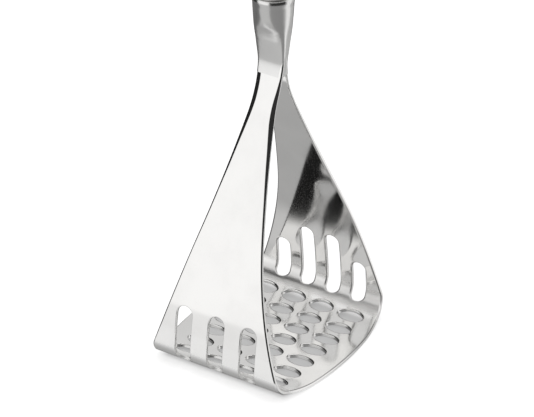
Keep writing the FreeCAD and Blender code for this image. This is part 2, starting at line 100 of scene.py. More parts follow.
# %% [markdown]
# ## Floor and studio
# Polished steel shows the room more than itself, so the room is the main light. The dome around the
# tool is painted by direction: pale panels in front on the left and behind on the right, dark flags
# between them, and a soft grey below. The floor is a plain pale sheet. It is kept out of the steel's
# mirror images, where the dome's own grey table stands in for it. The floor takes an even light in
# place of the dome, and glows a little itself, which keeps the tool's shadow faint. Under the plate
# its paper is painted darker and glows less: a painted shade for the little light that gets in there.
# A small card glows in front of the foot, fading towards it. Only reflections see the card.

# %% Node helpers for trees of any kind
def add_node(tree, kind, **settings):
    """A node with its properties set."""
    node = tree.nodes.new(kind)
    for name, value in settings.items():
        setattr(node, name, value)
    return node


def feed(tree, socket, value):
    """Joins an output to a socket, or sets the socket's own value."""
    if isinstance(value, bpy.types.NodeSocket):
        tree.links.new(value, socket)
    else:
        socket.default_value = value


def fed_node(tree, kind, inputs, **settings):
    """A node with its properties set, then its named inputs fed."""
    node = add_node(tree, kind, **settings)
    for name, value in inputs.items():
        feed(tree, node.inputs[name], value)
    return node


def separated(tree, vector):
    """The X, Y and Z outputs of a vector."""
    node = add_node(tree, "ShaderNodeSeparateXYZ")
    feed(tree, node.inputs[0], vector)
    return node.outputs


def combined(tree, **parts):
    """A vector of the parts given by letter; the others are zero."""
    return fed_node(tree, "ShaderNodeCombineXYZ", parts).outputs[0]


def blended(tree, kind, factor, start, end):
    """A mix from start to end, of numbers (FLOAT) or colours (RGBA)."""
    return fed_node(tree, "ShaderNodeMix", {"Factor": factor, "A": start, "B": end},
                    data_type=kind).outputs["Result"]


def object_place(tree):
    """The shaded point in the object's own coordinates."""
    return add_node(tree, "ShaderNodeTexCoord").outputs["Object"]


def arithmetic(tree, operation, *values):
    node = add_node(tree, "ShaderNodeMath", operation=operation)
    for socket, value in zip(node.inputs, values):
        feed(tree, socket, value)
    return node.outputs[0]


def vector_arithmetic(tree, operation, *values):
    node = add_node(tree, "ShaderNodeVectorMath", operation=operation)
    for socket, value in zip(node.inputs, values):
        feed(tree, socket, value)
    return node.outputs["Value" if operation in ("DOT_PRODUCT", "LENGTH") else "Vector"]


def ramp(tree, value, low, high, start=0.0, end=1.0):
    """A smooth step of value from low to high, giving start to end."""
    steps = {"Value": value, "From Min": low, "From Max": high, "To Min": start, "To Max": end}
    return fed_node(tree, "ShaderNodeMapRange", steps,
                    interpolation_type="SMOOTHSTEP").outputs["Result"]


def window(tree, value, low, high, soft):
    """One between low and high and zero outside, with soft edges."""
    return arithmetic(tree, "MULTIPLY", ramp(tree, value, low - soft / 2, low + soft / 2),
                      ramp(tree, value, high - soft / 2, high + soft / 2, 1.0, 0.0))


# %% The studio dome
# azimuth in degrees: 0 is straight in front of the front arm, positive to the right
PANELS = [
    # azimuth from, to, elevation from, to, softness, brightness
    (-54.0, 8.0, -22.5, -13.8, 2.0, 0.90),
    (-54.0, 8.0, -40.0, -22.5, 4.0, 0.58),
    (-70.0, 8.0, -53.0, -40.0, 6.0, 0.60),
    (-60.0, 8.0, -13.8, 18.0, 2.5, 1.07),
    (-60.0, 8.0, 18.0, 42.0, 6.0, 0.90),
    (-132.0, -55.0, -27.0, 50.0, 6.0, 0.02),
    (-132.0, -54.0, -46.0, -27.0, 8.0, 0.16),
    (-112.0, -46.0, 46.0, 84.0, 5.0, 0.01),
    (12.0, 102.0, -23.0, 36.0, 7.0, 0.03),
    (12.0, 92.0, -60.0, -23.0, 8.0, 0.30),
    (106.0, 142.0, -58.0, 70.0, 6.0, 1.00),
    (145.0, 178.0, 8.0, 55.0, 6.0, 0.06),
    (20.0, 178.0, -90.0, -60.0, 6.0, 0.06),
    (-180.0, -134.0, 5.0, 62.0, 8.0, 0.70),
    (-180.0, -128.0, -60.0, -12.0, 8.0, 0.10),
]
EVEN_SKY = 0.42  # the light that the floor takes, the same from every side
world = bpy.data.worlds.new("studio_dome")
bpy.context.scene.world = world
world.use_nodes = True
dome = world.node_tree
dome.nodes.clear()
heading = add_node(dome, "ShaderNodeTexCoord").outputs["Generated"]
parts = separated(dome, heading)
front = arithmetic(dome, "MULTIPLY", parts["Y"], -1.0)
azimuth = arithmetic(dome, "ARCTAN2", parts["X"], front)
azimuth = arithmetic(dome, "MULTIPLY", azimuth, 180.0 / math.pi)
elevation = arithmetic(dome, "ARCSINE", parts["Z"])
elevation = arithmetic(dome, "MULTIPLY", elevation, 180.0 / math.pi)
glow = ramp(dome, elevation, -50.0, 30.0, 0.42, 0.95)
for west, east, low, high, soft, level in PANELS:
    mask = arithmetic(dome, "MULTIPLY", window(dome, azimuth, west, east, soft),
                      window(dome, elevation, low, high, soft))
    glow = blended(dome, "FLOAT", mask, glow, level)
for_floor = add_node(dome, "ShaderNodeLightPath").outputs["Is Diffuse Ray"]
sky = fed_node(dome, "ShaderNodeBackground", {
    "Color": (1.0, 0.998, 0.995, 1.0),
    "Strength": blended(dome, "FLOAT", for_floor, glow, EVEN_SKY),
})
fed_node(dome, "ShaderNodeOutputWorld", {"Surface": sky.outputs[0]})
bpy.context.scene.view_settings.view_transform = "Standard"
print("dome with", len(PANELS), "panels and flags")

# %% The floor and the overhead softbox
def flat_sheet(name, x_from, x_to, y_from, y_to, height, material):
    """A rectangle that lies level; it is not attached to the tool."""
    mesh = bpy.data.meshes.new(name)
    corners = [(x_from, y_from), (x_to, y_from), (x_to, y_to), (x_from, y_to)]
    mesh.from_pydata([(x, y, height) for x, y in corners], [], [(0, 1, 2, 3)])
    mesh.materials.append(material)
    sheet = in_scene(name, mesh)
    return sheet


# Painted shade: under the plate the paper is darker and glows less, standing in for the shade there.
PAPER, PAINTED_SHADE_PAPER = 0.94, 0.42
PAPER_GLOW, PAINTED_SHADE_GLOW = 0.52, 0.28
PAINTED_SHADE_EXTENT = (("X", 0.029, 0.034), ("Y", 0.034, 0.040))
paper = bpy.data.materials.new("floor_paper")
paper.use_nodes = True
sheet_tree = paper.node_tree
paper_face = sheet_tree.nodes["Principled BSDF"]
parts = separated(sheet_tree, object_place(sheet_tree))
# painted shade mask: one under the plate, fading to none past its edges
painted_shade_mask = arithmetic(sheet_tree, "MULTIPLY", *[
    ramp(sheet_tree, arithmetic(sheet_tree, "ABSOLUTE", parts[axis]), near, far, 1.0, 0.0)
    for axis, near, far in PAINTED_SHADE_EXTENT])
paper_tone_with_painted_shade = blended(sheet_tree, "RGBA", painted_shade_mask, (*[PAPER] * 3, 1.0), (*[PAINTED_SHADE_PAPER] * 3, 1.0))
feed(sheet_tree, paper_face.inputs["Base Color"], paper_tone_with_painted_shade)
paper_face.inputs["Emission Color"].default_value = (1.0, 1.0, 1.0, 1.0)
feed(sheet_tree, paper_face.inputs["Emission Strength"],
     ramp(sheet_tree, painted_shade_mask, 0.0, 1.0, PAPER_GLOW, PAINTED_SHADE_GLOW))
paper_face.inputs["Roughness"].default_value = 0.9
paper_face.inputs["Specular IOR Level"].default_value = 0.0
reach = 6.0
floor = flat_sheet("floor", -reach, reach, -reach, reach, 0.0, paper)
floor.visible_glossy = False

card_white = bpy.data.materials.new("card_white")
card_white.use_nodes = True
card_tree = card_white.node_tree
card_tree.nodes.clear()
fade = ramp(card_tree, separated(card_tree, object_place(card_tree))["Y"], -0.060, -0.044, 0.92, 0.40)
card_glow = fed_node(card_tree, "ShaderNodeEmission", {"Strength": fade})
fed_node(card_tree, "ShaderNodeOutputMaterial", {"Surface": card_glow.outputs[0]})
foot_card = flat_sheet("foot_card", -0.090, 0.055, -0.090, -0.044, 0.0002, card_white)
for ray in ("camera", "diffuse", "transmission", "volume_scatter", "shadow"):
    setattr(foot_card, "visible_" + ray, False)

softbox = bpy.data.lights.new("overhead_softbox", "AREA")
softbox.shape = "RECTANGLE"
softbox.size, softbox.size_y = 3.0, 2.6
softbox.energy = 11.0
overhead = in_scene("overhead_softbox", softbox)
overhead.location = (-0.10, -0.10, 1.5)
overhead.rotation_euler = (math.radians(4.0), math.radians(-4.0), 0.0)
overhead.visible_camera = False
overhead.visible_glossy = False
print("floor", 2 * reach, "m wide; softbox", softbox.energy, "W")

# %% [markdown]
# ## The fold line of the strip
# Seen from the side the strip is a tangent chain: flat plate, shallow sweep, tight bend, long bow,
# straight, a reverse curve at the crotch, and the tab that meets its twin under the neck. A fold like
# this could be drawn by hand as a curve, but a chain of lines and arcs keeps every run tangent, as a
# press brake does, and its arc length says where each punched hole lands.

# %% Sizes of the strip
SHEET = 1.8 * MM
SKIN = 0.01 * MM
FLAT_HALF, SWEEP_RADIUS, BEND_RADIUS = 20.0 * MM, 60.0 * MM, 8.9 * MM
BOW_RADIUS, CROTCH_RADIUS, TAB_TOP = 165.0 * MM, 48.0 * MM, 146.0 * MM
SWEEP, LOW_TILT, HIGH_TILT = math.radians(18.3), math.radians(4.1), math.radians(23.8)


# %% The chain as runs of length, turn and heading
def fold_chain():
    """Points every quarter millimetre on the outer face of one half: arc length, y and z."""
    runs = [(FLAT_HALF, 0.0), (SWEEP_RADIUS * SWEEP, SWEEP)]
    turn_bend = math.pi / 2 + LOW_TILT - SWEEP
    turn_bow = HIGH_TILT - LOW_TILT
    runs += [(BEND_RADIUS * turn_bend, turn_bend), (BOW_RADIUS * turn_bow, turn_bow)]
    y, z, angle, length = 0.0, 0.0, 0.0, 0.0
    rows = [(0.0, 0.0, 0.0)]

    def travel(run, turned):
        nonlocal y, z, angle, length
        steps = max(2, int(round(run / (0.25 * MM))))
        for _ in range(steps):
            middle = angle + turned / steps / 2
            chord = run / steps
            if turned:
                chord = 2 * (run / turned) * math.sin(turned / steps / 2)
            y, z = y + chord * math.cos(middle), z + chord * math.sin(middle)
            angle, length = angle + turned / steps, length + run / steps
            rows.append((length, y, z))

    for run, turned in runs:
        travel(run, turned)
    straight = (y - SHEET - CROTCH_RADIUS * (1 - math.cos(HIGH_TILT))) / math.sin(HIGH_TILT)
    travel(straight, 0.0)
    travel(CROTCH_RADIUS * HIGH_TILT, -HIGH_TILT)
    travel(TAB_TOP - z, 0.0)
    return np.array(rows)


chain = fold_chain()
HALF_LENGTH = chain[-1, 0]


def place_at(length):
    """y and z of the outer face at an arc length from the plate's middle, for the rear half."""
    return np.interp(length, chain[:, 0], chain[:, 1]), np.interp(length, chain[:, 0], chain[:, 2])


def length_where(column, value, start):
    """Arc length beyond start at which y (column 1) or z (column 2) first reaches value."""
    rows = chain[chain[:, 0] >= start]
    k = max(1, int(np.argmax(rows[:, column] >= value)))
    return float(np.interp(value, rows[k - 1:k + 1, column], rows[k - 1:k + 1, 0]))


BEND_START = FLAT_HALF + SWEEP_RADIUS * SWEEP
print("half strip %.1f mm, top at y %.2f z %.2f mm" % tuple(chain[-1] / MM))

# %% [markdown]
# ## The punched blank
# The blank is laid out flat: x across the strip, y along it. Its half width is the plate's barrel
# curve, then the arm's taper, then the slim waist. The width is worked out at each arc length from
# the folded strip's own height, so the fold brings every edge to its right place.

# %% Half width of the blank along the strip
PLATE_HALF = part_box("blade")[1][0] - 0.01 * MM
PLATE_BULGE = 150.0 * MM
ARM_HALF, ARM_TAPER, ARM_SIDE = 31.2 * MM, math.radians(18.5), 583.0 * MM
WAIST_HALF, WAIST_SIDE, TAB_HALF = 6.2 * MM, 66.0 * MM, 7.2 * MM
ARM_FOOT = SWEEP_RADIUS * (1 - math.cos(SWEEP)) + BEND_RADIUS * (math.cos(SWEEP) + math.sin(LOW_TILT))
WAIST_TILT = math.acos((ARM_HALF + ARM_SIDE * math.cos(ARM_TAPER) - WAIST_SIDE - WAIST_HALF)
                       / (ARM_SIDE - WAIST_SIDE))
WAIST_JOIN = ARM_FOOT + ARM_SIDE * (math.sin(ARM_TAPER) - math.sin(WAIST_TILT))
WAIST_LEVEL = WAIST_JOIN + WAIST_SIDE * math.sin(WAIST_TILT)
FLARE_RISE, FLARE_OUT = TAB_TOP - WAIST_LEVEL, TAB_HALF - WAIST_HALF
FLARE_RADIUS = (FLARE_RISE ** 2 + FLARE_OUT ** 2) / (2 * FLARE_OUT)


def arm_width(height):
    """Half width of an arm at a height: straight foot, long side arc, waist arc, flare."""
    if height < ARM_FOOT:
        return ARM_HALF + (ARM_FOOT - height) * math.tan(ARM_TAPER)
    if height < WAIST_JOIN:
        tilt = math.asin(math.sin(ARM_TAPER) - (height - ARM_FOOT) / ARM_SIDE)
        return ARM_HALF - ARM_SIDE * (math.cos(tilt) - math.cos(ARM_TAPER))
    if height < WAIST_LEVEL:
        tilt = math.asin((WAIST_LEVEL - height) / WAIST_SIDE)
        return WAIST_HALF + WAIST_SIDE * (1 - math.cos(tilt))
    rise = height - WAIST_LEVEL
    return WAIST_HALF + FLARE_RADIUS - math.sqrt(max(FLARE_RADIUS ** 2 - rise ** 2, 0.0))


def blank_width(length):
    """Half width of the flat blank at a signed arc length."""
    y, z = place_at(abs(length))
    plate = PLATE_HALF - PLATE_BULGE + math.sqrt(PLATE_BULGE ** 2 - y ** 2)
    if abs(length) < BEND_START:
        return plate
    arm = arm_width(z) + 2.0 * MM * max(0.0, 1 - (z - 3.0 * MM) / (5.0 * MM))
    soft = 0.35 * MM
    h = max(soft - abs(plate - arm), 0.0) / soft
    return min(plate, arm) - h * h * soft / 4


print("waist %.1f mm wide at z %.1f mm" % (2 * WAIST_HALF / MM, WAIST_LEVEL / MM))


# %% Closed outlines, each with the steel on its left
def even_steps(points, step):
    """The same closed outline with points about a step apart."""
    closed = np.vstack([points, points[:1]])
    gaps = np.hypot(*np.diff(closed, axis=0).T)
    along = np.concatenate([[0.0], np.cumsum(gaps)])
    count = max(12, int(round(along[-1] / step)))
    ticks = np.arange(count) * along[-1] / count
    return np.column_stack([np.interp(ticks, along, closed[:, k]) for k in (0, 1)])


def blank_outline():
    """The strip's outer edge: up the right side, across the rear end, and down the left side."""
    lengths = np.linspace(-HALF_LENGTH, HALF_LENGTH, 900)
    widths = np.array([blank_width(s) for s in lengths])
    side = np.column_stack([widths, lengths])
    across = np.linspace(1, -1, 24)[1:-1, None] * [TAB_HALF, 0.0]
    rear = across + [0.0, HALF_LENGTH]
    left = side[::-1] * [-1, 1]
    front = -across - [0.0, HALF_LENGTH]
    return np.vstack([side, rear, left, front])


def slot_hole(across, width, near, far):
    """A slot with round ends, from one arc length to another."""
    radius = width / 2
    low, high = min(near, far) + radius, max(near, far) - radius
    turn = np.linspace(0, math.pi, 40)
    top = np.column_stack([across + radius * np.cos(turn), high + radius * np.sin(turn)])
    bottom = np.column_stack([across - radius * np.cos(turn), low - radius * np.sin(turn)])
    return np.vstack([top, bottom])[::-1]


print("outline of", len(blank_outline()), "points before spacing")

# %% [markdown]
# ## Where the ovals go
# The plate has seven rows of four ovals. They could be typed in one by one, but a small Geometry
# Nodes tree lays them out from a pitch and two column distances, as the punch tool does. It gives
# closed loops of edges, which the next step reads as cuts.

# %% A tree that lays out the ovals
def tree_with_inputs(name, inputs):
    """A Geometry Nodes tree with a geometry in and out, and named inputs with their values."""
    tree = bpy.data.node_groups.new(name, "GeometryNodeTree")
    tree.interface.new_socket("Geometry", in_out="INPUT", socket_type="NodeSocketGeometry")
    tree.interface.new_socket("Geometry", in_out="OUTPUT", socket_type="NodeSocketGeometry")
    for label, (kind, value) in inputs.items():
        socket = tree.interface.new_socket(label, in_out="INPUT", socket_type=kind)
        if value is not None:
            socket.default_value = value
    return tree, tree.nodes.new("NodeGroupInput"), tree.nodes.new("NodeGroupOutput")


def evaluated_mesh(base, tree, values, name):
    """Runs a tree on a mesh object, and gives its result as a plain mesh."""
    modifier = base.modifiers.new(tree.name, "NODES")
    modifier.node_group = tree
    for item in tree.interface.items_tree:
        if item.item_type == "SOCKET" and item.in_out == "INPUT" and item.name in values:
            modifier[item.identifier] = values[item.name]
    evaluated = base.evaluated_get(bpy.context.evaluated_depsgraph_get())
    result = bpy.data.meshes.new_from_object(evaluated, preserve_all_data_layers=True,
                                             depsgraph=bpy.context.evaluated_depsgraph_get())
    result.name = name
    base.modifiers.clear()
    bpy.data.objects.remove(base)
    return result


OVALS = {
    "Rows": ("NodeSocketInt", 7),
    "Row pitch": ("NodeSocketFloat", 10.65 * MM),
    "Inner column": ("NodeSocketFloat", 7.4 * MM),
    "Outer column": ("NodeSocketFloat", 22.8 * MM),
    "Inner length": ("NodeSocketFloat", 11.2 * MM),
    "Outer length": ("NodeSocketFloat", 12.3 * MM),
    "Width": ("NodeSocketFloat", 7.0 * MM),
    "Points": ("NodeSocketInt", 56),
}
layout, given, made = tree_with_inputs("oval_layout", OVALS)
ring = fed_node(layout, "GeometryNodeCurvePrimitiveCircle",
                {"Resolution": given.outputs["Points"], "Radius": 0.5})
loop_edges = fed_node(layout, "GeometryNodeCurveToMesh", {"Curve": ring.outputs["Curve"]})
row_gaps = arithmetic(layout, "SUBTRACT", given.outputs["Rows"], 1.0)
span = arithmetic(layout, "MULTIPLY", row_gaps, given.outputs["Row pitch"])
first_row = arithmetic(layout, "MULTIPLY", span, -0.5)
gather = add_node(layout, "GeometryNodeJoinGeometry")
for side in (-1.0, 1.0):
    for column in ("Inner", "Outer"):
        column_x = arithmetic(layout, "MULTIPLY", given.outputs[column + " column"], side)
        line = fed_node(layout, "GeometryNodeMeshLine", {
            "Count": given.outputs["Rows"],
            "Start Location": combined(layout, X=column_x, Y=first_row),
            "Offset": combined(layout, Y=given.outputs["Row pitch"]),
        }, mode="OFFSET")
        punch = fed_node(layout, "GeometryNodeInstanceOnPoints", {
            "Points": line.outputs["Mesh"],
            "Instance": loop_edges.outputs["Mesh"],
            "Scale": combined(layout, X=given.outputs[column + " length"],
                              Y=given.outputs["Width"], Z=1.0),
        })
        feed(layout, gather.inputs[0], punch.outputs["Instances"])
real = fed_node(layout, "GeometryNodeRealizeInstances", {"Geometry": gather.outputs[0]})
feed(layout, made.inputs["Geometry"], real.outputs["Geometry"])

oval_values = {name: value for name, (_, value) in OVALS.items()}
blank_base = in_scene("oval_base", bpy.data.meshes.new("oval_base"))
oval_loops = evaluated_mesh(blank_base, layout, oval_values, "oval_loops")
points = np.empty(3 * len(oval_loops.vertices))
oval_loops.vertices.foreach_get("co", points)
ovals = points.reshape(-1, OVALS["Points"][1], 3)[:, ::-1, :2]
bpy.data.meshes.remove(oval_loops)
print(len(ovals), "ovals laid out")

# %% Slots that climb from the plate into the arms
SLOT_END = length_where(1, 41.0 * MM, 0.0)
REAR_SLOTS = [(side * share * 13.3 * MM, 7.0 * MM, top)
              for side in (-1, 1) for share, top in ((0.5, 35.3 * MM), (1.5, 24.4 * MM))]
FRONT_SLOTS = [(count * 16.5 * MM, 8.0 * MM, 32.4 * MM) for count in (-1, 0, 1)]
slots = [slot_hole(x, width, half * SLOT_END, half * length_where(2, top, BEND_START))
         for half, row in ((1, REAR_SLOTS), (-1, FRONT_SLOTS)) for x, width, top in row]
print(len(slots), "slots, from", round(SLOT_END / MM, 1), "mm along the strip")

# %% [markdown]
# ## Rounded cut edges
# A punched strip is tumbled and polished, so no edge is sharp: the face rolls over into the cut
# wall. A Bevel modifier can't follow so many curved edges evenly. Here each outline carries its own
# cross-section of rings instead, and each ring knows its exact surface direction, which a mirror
# finish needs.

# %% The roll-over of a hole, and the bevel along an arm
INNER_WIDE, INNER_DEEP, ROLL_STEPS = 0.85 * MM, 0.50 * MM, 5
OUTER_ROLL, BLEND = 0.45 * MM, 0.12 * MM
BEVEL_WIDE, BEVEL_DEEP = 0.58 * MM, 0.42 * MM


def outer_rows(is_arm, wide, deep):
    """Rows of (way into the steel, drop, angle) down the outer side, each an array along the outline."""
    if not is_arm:
        for turn in np.linspace(0, math.pi / 2, ROLL_STEPS + 1):
            reach, drop = OUTER_ROLL * (1 - math.sin(turn)), OUTER_ROLL * (1 - math.cos(turn))
            yield reach * wide, drop * wide, turn * wide
        return
    reach, drop, blend = BEVEL_WIDE * wide, BEVEL_DEEP * deep, BLEND * np.minimum(wide, 1.0)
    slope = np.arctan2(drop, reach)
    square = np.full(len(wide), math.pi / 2)
    yield reach + blend, 0 * wide, 0 * wide
    yield reach + 0.1 * blend, 0.12 * blend, slope / 2
    yield reach - blend * np.cos(slope), blend * np.sin(slope), slope
    yield blend * np.cos(slope), drop - blend * np.sin(slope), slope
    yield 0.15 * blend, drop - 0.1 * blend, (slope + square) / 2
    yield 0 * wide, drop + blend, square


def edge_rings(loop, side, is_arm, wide, deep):
    """Rings from the outer face round the cut wall to the inner face: places, directions, wall share."""
    rows = [(reach, drop, turn, -1) for reach, drop, turn in outer_rows(is_arm, wide, deep)]
    small = np.minimum(wide, 1.0)
    for turn in np.linspace(math.pi / 2, 0, ROLL_STEPS + 1):
        rows.append((INNER_WIDE * (1 - math.sin(turn)) * small, INNER_DEEP * (1 - math.cos(turn)) * small,
                     turn + 0 * wide, 1))
    for reach, drop, turn, sign in rows:
        spot = loop + side * reach[:, None]
        way = np.column_stack([-side * np.sin(turn)[:, None], sign * np.cos(turn)])
        yield np.column_stack([spot, SKIN + drop if sign < 0 else SHEET - drop]), way, np.sin(turn)


def steel_side(outline):
    """Unit directions to the left of travel, which is where the steel is."""
    ahead = np.roll(outline, -1, axis=0) - np.roll(outline, 1, axis=0)
    ahead /= np.hypot(*ahead.T)[:, None]
    return np.column_stack([-ahead[:, 1], ahead[:, 0]])


def bevel_scales(loop, side):
    """Scales of the arm's bevel: wide at the crotch, slim lower down, almost none at the ends."""
    height = np.array([place_at(abs(length))[1] for length in loop[:, 1]]) / MM
    swell = np.interp(height, [58, 84, 104, 122, 130], [0.0, 0.12, 0.45, 0.95, 1.0])
    tapered = loop[:, 0] * loop[:, 1] < 0
    swell = np.where(tapered, swell * np.interp(height, [114, 133], [1.0, 0.0]), swell)
    at_end = (np.abs(side[:, 1]) > 0.5) & (np.abs(loop[:, 1]) > HALF_LENGTH - 2 * MM)
    return np.where(at_end, 0.04, 1.0 + 3.3 * swell), np.where(at_end, 0.04, 1.0 + 1.7 * swell)


outer_edge = even_steps(blank_outline(), 0.8 * MM)
edges = [(outer_edge, True)]
edges += [(even_steps(loop, 0.6 * MM), False) for loop in list(ovals) + slots]
print("edges:", len(edges), "with", sum(len(loop) for loop, _ in edges), "points")


# %% Filling a face between its outlines
def inside(places, loops):
    """True for the places that lie in the steel, by counting crossings."""
    crossings = np.zeros(len(places), dtype=int)
    for loop in loops:
        x0, y0 = loop.T
        x1, y1 = np.roll(loop, -1, axis=0).T
        for k in range(0, len(places), 4000):
            px, py = places[k:k + 4000, 0][:, None], places[k:k + 4000, 1][:, None]
            spans = (y0 > py) != (y1 > py)
            reach_x = x0 + (py - y0) * (x1 - x0) / np.where(y1 == y0, 1e-12, y1 - y0)
            crossings[k:k + 4000] += (spans & (px < reach_x)).sum(axis=1)
    return crossings % 2 == 1


def inner_grid(loops, across):
    """Staggered points in the steel, closer together along the strip where the fold is tight."""
    rows, length = [], -HALF_LENGTH
    while length < HALF_LENGTH:
        bend = BEND_START - 2 * MM < abs(length) < BEND_START + BEND_RADIUS * 1.323 + 2 * MM
        length += (0.7 if bend else 1.35) * MM
        shift = across / 2 * (len(rows) % 2)
        rows.append(np.array([(x + shift, length) for x in np.arange(-40 * MM, 40 * MM, across)]))
    grid = np.vstack(rows)
    grid = grid[inside(grid, loops)]
    border = np.vstack(loops)
    clear = np.empty(len(grid), dtype=bool)
    for k in range(0, len(grid), 1000):
        part = grid[k:k + 1000]
        gap = np.hypot(part[:, 0][:, None] - border[:, 0], part[:, 1][:, None] - border[:, 1])
        clear[k:k + 1000] = gap.min(axis=1) > 0.42 * MM
    return grid[clear]


def fill_face(loops):
    """Triangles that fill the steel between the loops; the loops' points come first."""
    grid = inner_grid(loops, 1.5 * MM)
    places = np.vstack(loops + [grid])
    ties, first = [], 0
    for loop in loops:
        count = len(loop)
        ties += [(first + k, first + (k + 1) % count) for k in range(count)]
        first += count
    result = delaunay_2d_cdt([Vector(p) for p in places / MM], ties, [], 0, 1e-6)
    found, triangles, origins = result[0], result[2], result[3]
    if len(found) != len(places):
        raise RuntimeError("two outlines touch")
    order = [origin[0] for origin in origins]
    triangles = np.array([[order[k] for k in triangle] for triangle in triangles])
    keep = inside(places[triangles].mean(axis=1), loops)
    return places, triangles[keep]


# %% The flat blank as one closed mesh
def flat_blank():
    """Vertices (across, along, through), their exact directions, faces, and the share of cut wall."""
    places, directions, walls, faces, first_rings, last_rings = [], [], [], [], [], []
    total = 0
    for loop, is_arm in edges:
        side, count, rings = steel_side(loop), len(loop), []
        wide, deep = bevel_scales(loop, side) if is_arm else (np.ones(count), np.ones(count))
        for spots, ways, wall in edge_rings(loop, side, is_arm, wide, deep):
            places.append(spots)
            directions.append(ways)
            walls.append(wall)
            rings.append(np.arange(total, total + count))
            total += count
        for low, high in zip(rings, rings[1:]):
            ahead_low, ahead_high = np.roll(low, -1), np.roll(high, -1)
            faces += list(zip(low, ahead_low, ahead_high, high))
        first_rings.append(rings[0])
        last_rings.append(rings[-1])
    stacked = np.vstack(places)
    for rings, level, rise in ((first_rings, SKIN, -1.0), (last_rings, SHEET, 1.0)):
        loops = [stacked[ring][:, :2] for ring in rings]
        known = np.concatenate(rings)
        filled, triangles = fill_face(loops)
        grid = filled[len(known):]
        index = np.concatenate([known, np.arange(total, total + len(grid))])
        total += len(grid)
        places.append(np.column_stack([grid, np.full(len(grid), level)]))
        directions.append(np.tile([0.0, 0.0, rise], (len(grid), 1)))
        walls.append(np.zeros(len(grid)))
        for a, b, c in triangles:
            turn_way = np.cross(filled[b] - filled[a], filled[c] - filled[a])
            corner = (a, b, c) if turn_way * rise > 0 else (a, c, b)
            faces.append(tuple(index[k] for k in corner))
    return np.vstack(places), np.vstack(directions), np.concatenate(walls), faces


flat_places, flat_directions, flat_walls, flat_faces = flat_blank()
flat = bpy.data.meshes.new("flat_blank")
flat.from_pydata([tuple(p) for p in flat_places], [], [tuple(int(k) for k in f) for f in flat_faces])
for label, kind, field, values in (("direction", "FLOAT_VECTOR", "vector", flat_directions.ravel()),
                                   ("cut_wall", "FLOAT", "value", flat_walls)):
    flat.attributes.new(label, kind, "POINT").data.foreach_set(field, values)
print("flat blank:", len(flat.vertices), "points,", len(flat.polygons), "faces")

# %% [markdown]
# ## Folding the blank
# The fold could be a stack of Simple Deform modifiers, but each of those bends by one angle only. A
# Geometry Nodes tree follows a path instead: it reads the path's place and direction at each point's
# length along the strip, and carries the surface directions round with it.

# %% The fold line as a curve
fold_curve = bpy.data.curves.new("fold_line", "CURVE")
fold_curve.dimensions = "3D"
spline = fold_curve.splines.new("POLY")
route = [(0.0, -y, z) for _, y, z in chain[:0:-1]] + [(0.0, y, z) for _, y, z in chain]
spline.points.add(len(route) - 1)
for point, place in zip(spline.points, route):
    point.co = (*place, 1.0)
fold_line = in_scene("fold_line", fold_curve)
print("fold line of", len(route), "points")

# %% The folding tree
FOLD = {
    "Fold line": ("NodeSocketObject", None),
    "Middle": ("NodeSocketFloat", HALF_LENGTH),
    "Steel": ("NodeSocketMaterial", None),
}
fold, given, made = tree_with_inputs("fold_strip", FOLD)
path = fed_node(fold, "GeometryNodeObjectInfo", {"Object": given.outputs["Fold line"]},
                transform_space="ORIGINAL")
here = separated(fold, add_node(fold, "GeometryNodeInputPosition").outputs[0])
reader = fed_node(fold, "GeometryNodeSampleCurve", {
    "Curves": path.outputs["Geometry"],
    "Length": arithmetic(fold, "ADD", here["Y"], given.outputs["Middle"]),
}, mode="LENGTH", use_all_curves=True)
tangent = separated(fold, reader.outputs["Tangent"])
inward = combined(fold, Y=arithmetic(fold, "MULTIPLY", tangent["Z"], -1.0), Z=tangent["Y"])


def scaled(tree, vector, amount):
    """A vector times a number."""
    node = fed_node(tree, "ShaderNodeVectorMath", {"Scale": amount}, operation="SCALE")
    feed(tree, node.inputs[0], vector)
    return node.outputs["Vector"]


def carried(tree, across, along, through):
    """A flat (across, along, through) triple turned into the fold's own directions."""
    both = vector_arithmetic(tree, "ADD", scaled(tree, reader.outputs["Tangent"], along),
                             scaled(tree, inward, through))
    return vector_arithmetic(tree, "ADD", both, combined(tree, X=across))


flat_way = fed_node(fold, "GeometryNodeInputNamedAttribute", {"Name": "direction"},
                    data_type="FLOAT_VECTOR")
parts = separated(fold, flat_way.outputs["Attribute"])
turned_way = carried(fold, parts["X"], parts["Y"], parts["Z"])
marked = fed_node(fold, "GeometryNodeStoreNamedAttribute", {
    "Geometry": given.outputs["Geometry"], "Name": "direction", "Value": turned_way,
}, data_type="FLOAT_VECTOR", domain="POINT").outputs["Geometry"]
place = vector_arithmetic(fold, "ADD", reader.outputs["Position"],
                          carried(fold, here["X"], 0.0, here["Z"]))
move = fed_node(fold, "GeometryNodeSetPosition", {"Geometry": marked, "Position": place})
real = fed_node(fold, "GeometryNodeRealizeInstances", {"Geometry": move.outputs["Geometry"]})
coat = fed_node(fold, "GeometryNodeSetMaterial",
                {"Geometry": real.outputs["Geometry"], "Material": given.outputs["Steel"]})
feed(fold, made.inputs["Geometry"], coat.outputs["Geometry"])
print("folding tree with", len(fold.nodes), "nodes")

# %% [markdown]
# ## Steel finishes
# Every piece is stainless steel, but each has been finished its own way: the strip is mirror
# polished on a soft mop, its plate is duller from use, the neck is polished by hand, and the handle
# is brushed round on a belt. Two shared groups give the marks: fine polishing lines, or turning lines
# round an axis, each with faint hazy patches. They read Object coordinates, so they stay on the metal.

